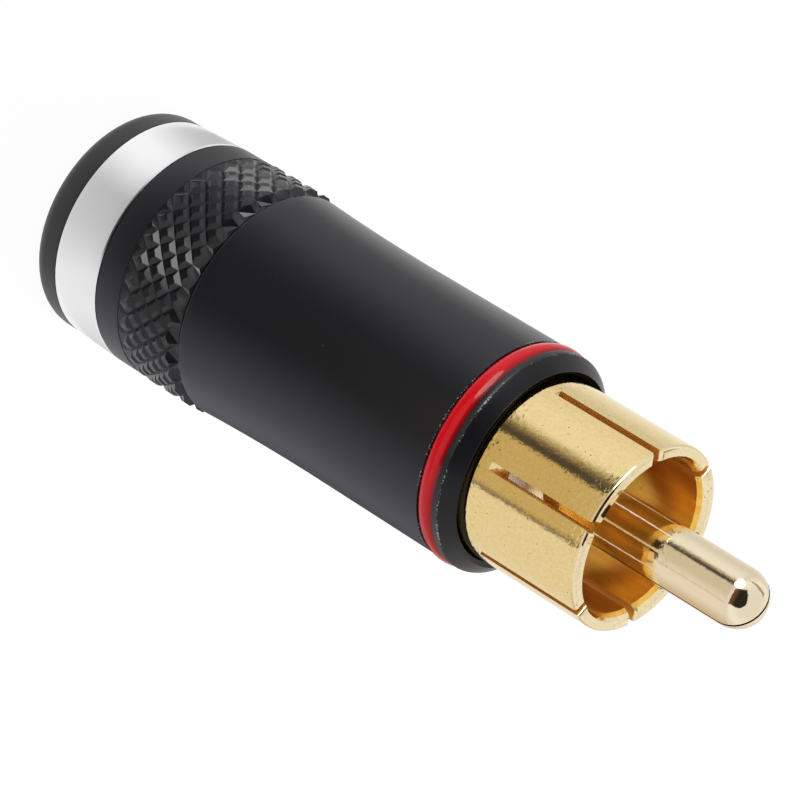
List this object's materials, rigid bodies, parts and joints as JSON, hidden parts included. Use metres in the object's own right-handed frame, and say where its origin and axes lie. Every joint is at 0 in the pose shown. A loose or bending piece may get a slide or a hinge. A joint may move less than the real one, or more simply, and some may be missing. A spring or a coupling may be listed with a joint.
{
  "type": "rca plug",
  "caption": "Cable plug with a split centre pin in a slotted gold ground collar, a black barrel with a red ring and a knurled clamp nut that grips the cable.",
  "frame": {"origin": "centre of the rear face that the plug stands on, at the mouth of the cable hole", "axes": "+Z along the plug's axis towards the tip of the pin; -Y towards the viewer of the picture"},
  "size_m": [0.0132, 0.0132, 0.046],
  "materials": {
    "gold_plate": "bright gold plate on turned brass",
    "pale_gold_plate": "polished pale gold plate on turned brass",
    "white_plastic": "moulded insulator",
    "black_metal": "satin black coat on turned metal",
    "red_plastic": "glossy moulded ring",
    "clear_plastic": "drawn tube, milky",
    "grey_plastic": "moulded collet",
    "bright_nickel": "satin nickel plate",
    "black_plastic": "moulded bush"
  },
  "bodies": {
    "clamp": {"clamp_nut": "black_metal", "trim_ring": "bright_nickel", "end_bush": "black_plastic"},
    "chuck": {"cable_chuck": "grey_plastic"},
    "head": {"barrel": "black_metal", "colour_ring": "red_plastic", "ground_contact": "gold_plate", "centre_pin": "pale_gold_plate", "pin_insulator": "white_plastic", "insulating_sleeve": "clear_plastic"}
  },
  "joints": [
    {"name": "thread_turn", "type": "hinge", "parent": "clamp", "child": "chuck", "pos_m": [0, 0, 0], "axis": [0, 0, 1], "range_deg": [0, 2160]},
    {"name": "thread_travel", "type": "slide", "parent": "chuck", "child": "head", "axis": [0, 0, 1], "range_m": [0, 0.0045]}
  ],
  "couplings": [
    {"joint": "thread_travel", "follows": "thread_turn", "m_per_rad": 0.00011937}
  ]
}
